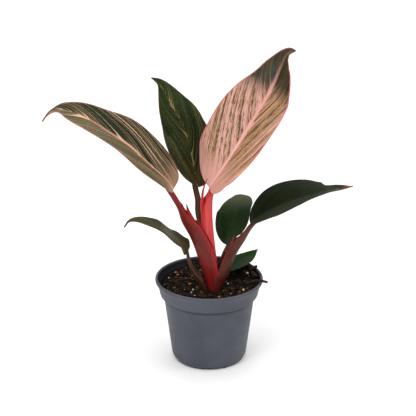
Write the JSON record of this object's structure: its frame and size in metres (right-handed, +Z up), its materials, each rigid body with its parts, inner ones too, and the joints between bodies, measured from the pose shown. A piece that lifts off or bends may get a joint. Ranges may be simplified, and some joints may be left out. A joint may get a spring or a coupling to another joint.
{
  "type": "potted philodendron",
  "caption": "Young aroid house plant with broad pointed blades on sheathed stalks, standing in soil in a round tapered nursery pot.",
  "frame": {"origin": "middle of the underside of the pot's floor, level with the ring foot that the pot stands on", "axes": "+Z up along the pot's axis; +X to the right and +Y away from the viewer of the picture"},
  "size_m": [0.1657, 0.0624, 0.173],
  "materials": {
    "pot_plastic": "matt slate grey moulded plastic",
    "soil": "dark loose bark and peat mix",
    "root": "matt pale brown root skin",
    "bark": "rough dark bark",
    "spear_red": "satin red rolled leaf",
    "stalk_dark_red": "satin dark red stalk",
    "stalk_coral": "satin coral stalk",
    "stalk_brown_red": "satin brown-red stalk",
    "stalk_brown": "satin brown stalk",
    "stalk_olive": "satin olive-brown stalk",
    "blade_streaked": "satin green blade with cream and pink streaks",
    "blade_dark_streaked": "satin dark green blade with fine golden streaks",
    "blade_pink": "glossy pink blade with olive streaks",
    "blade_dark": "satin near-black green blade",
    "blade_green": "satin deep green blade",
    "blade_olive": "satin grey-olive blade"
  },
  "bodies": {
    "root": {"pot": "pot_plastic", "soil": "soil", "stem_crown": "root", "bark_chip": "bark", "new_leaf_spear": "spear_red", "stalk_a": "stalk_dark_red", "leaf_a": "blade_streaked", "stalk_b": "stalk_brown", "leaf_b": "blade_dark_streaked", "stalk_c": "stalk_coral", "leaf_c": "blade_pink", "stalk_d": "stalk_brown_red", "leaf_d": "blade_dark", "stalk_e": "stalk_olive", "leaf_e": "blade_green", "stalk_f": "stalk_brown", "leaf_f": "blade_green", "stalk_g": "stalk_brown", "leaf_g": "blade_olive"}
  },
  "joints": []
}
